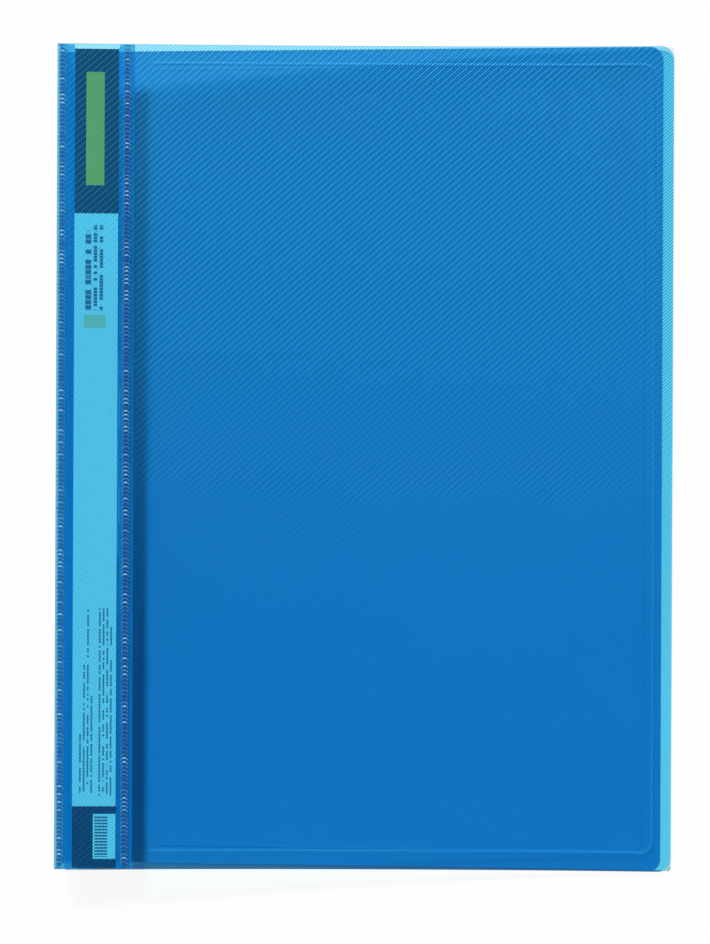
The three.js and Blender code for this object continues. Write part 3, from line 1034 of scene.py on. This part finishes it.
def makeBasePlate():
    low, high = boxOf("base_plate")
    hingeX, hingeZ = hingeAxis()
    top = low.z + plate["thickness"]
    extra = plate["cutterExtra"]
    bpy.ops.object.select_all(action="DESELECT")
    middle = ((low.x + high.x) / 2, 0, (low.z + top) / 2)
    bpy.ops.mesh.primitive_cube_add(size=1, location=middle)
    base = bpy.context.object
    base.scale = (high.x - low.x, high.y - low.y, plate["thickness"])
    applyPlace(base)
    roundEdges(base, (0, 1), plate["cornerRadius"], cornerSteps)
    roundEdges(base, (2,), plate["rounding"], plate["roundingSteps"])
    for side in (-1, 1):
        middle = (hingeX, side * plate["knuckleDistance"], hingeZ)
        length = plate["knuckleLength"]
        lying = (pi / 2, 0, 0)
        join(base, cylinder(plate["knuckleRadius"], length, middle, lying), "UNION")
        join(base, cylinder(plate["knuckleBore"], length + 2 * extra, middle, lying), "DIFFERENCE")
    for place in ("upper", "lower"):
        for kind in ("post", "rivet"):
            middle = sum(boxOf(kind + "_" + place), Vector()) / 2
            join(base, disc(plate[kind + "Hole"], 0, top + extra, middle.x, middle.y), "DIFFERENCE")
    smoothOver(base, 30)
    return base


basePlate = makeBasePlate()
finishPiece(basePlate, "pressed_base_plate", "fastener_steel", rolledSteel)
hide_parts("base_plate")
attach(basePlate, "back")
say("base plate pressed")

# Studio: a pale floor, one soft key from the folder's top end and a plain world
studio = {
    "keyFrom": (-0.2, 0.95, 1.0),
    "keyStrength": 3.35,
    "keyAngleDegrees": 9,
    "ambient": 0.17,
    "floorSize": 6.0,
    "floorColour": 0.92,
    "floorLift": 0.92,  # share of plain white round the folder's own place on the floor
    "floorDrop": 0.02 * mm,
    "floorSoft": 0.3 * mm,
    "underCover": 3.4 * mm,  # the floor seen through the raised cover reaches this far past its edge
}
lightPaths = {
    "max_bounces": 3,
    "diffuse_bounces": 2,
    "glossy_bounces": 1,
    "transparent_max_bounces": 20,
    "light_sampling_threshold": 0.05,
}


def seenPlain(recipe):  # 1 for the rays that show the plain background
    path = recipe.node("ShaderNodeLightPath").socket.node.outputs
    seen = Signal(recipe, path["Is Camera Ray"]) + Signal(recipe, path["Is Glossy Ray"])
    return (seen + Signal(recipe, path["Is Transmission Ray"])).clamped()


def makeFloor():
    bpy.ops.object.select_all(action="DESELECT")
    bpy.ops.mesh.primitive_plane_add(size=studio["floorSize"], location=(0, 0, -studio["floorDrop"]))
    floor = bpy.context.object
    floor.name = "floor"
    recipe = Recipe(bpy.data.materials.new("floor"))
    across, along = recipe.place()[1:3]
    remaining = ((foreX - across) / coverWidth).clamped()
    under = remaining.math("POWER", remaining, folder["sagPower"]) * (studio["underCover"] / 2)
    fromMiddle = abs(along + under) - under
    outside = (abs(across) - foreX).above(fromMiddle - topY)
    aside = outside.rise(-studio["floorSoft"], studio["floorSoft"])
    grey = (studio["floorColour"],) * 3
    surface = recipe.node("ShaderNodeBsdfDiffuse", {}, {"Color": (*grey, 1)})
    white = recipe.node("ShaderNodeEmission", {}, {"Strength": 1.0})
    lift = seenPlain(recipe) * aside * studio["floorLift"]
    recipe.show(recipe.blend(lift, surface, white))
    recipe.owner.cycles.emission_sampling = "NONE"
    floor.data.materials.append(recipe.owner)


def makeLights():
    data = bpy.data.lights.new("key", "SUN")
    data.energy = studio["keyStrength"]
    data.angle = radians(studio["keyAngleDegrees"])
    key = bpy.data.objects.new("key", data)
    bpy.context.collection.objects.link(key)
    key.rotation_mode = "QUATERNION"
    key.rotation_quaternion = Vector(studio["keyFrom"]).to_track_quat("Z", "Y")
    world = bpy.data.worlds.new("studio")
    bpy.context.scene.world = world
    recipe = Recipe(world)
    light, plain = [
        recipe.node("ShaderNodeBackground", {}, {"Strength": strength, "Color": (1, 1, 1, 1)})
        for strength in (studio["ambient"], 1.0)
    ]
    recipe.show(recipe.blend(seenPlain(recipe), light, plain), "ShaderNodeOutputWorld")


makeFloor()
makeLights()
bpy.context.scene.view_settings.view_transform = "Standard"
for name, limit in lightPaths.items():
    setattr(bpy.context.scene.cycles, name, limit)
say("studio lit")
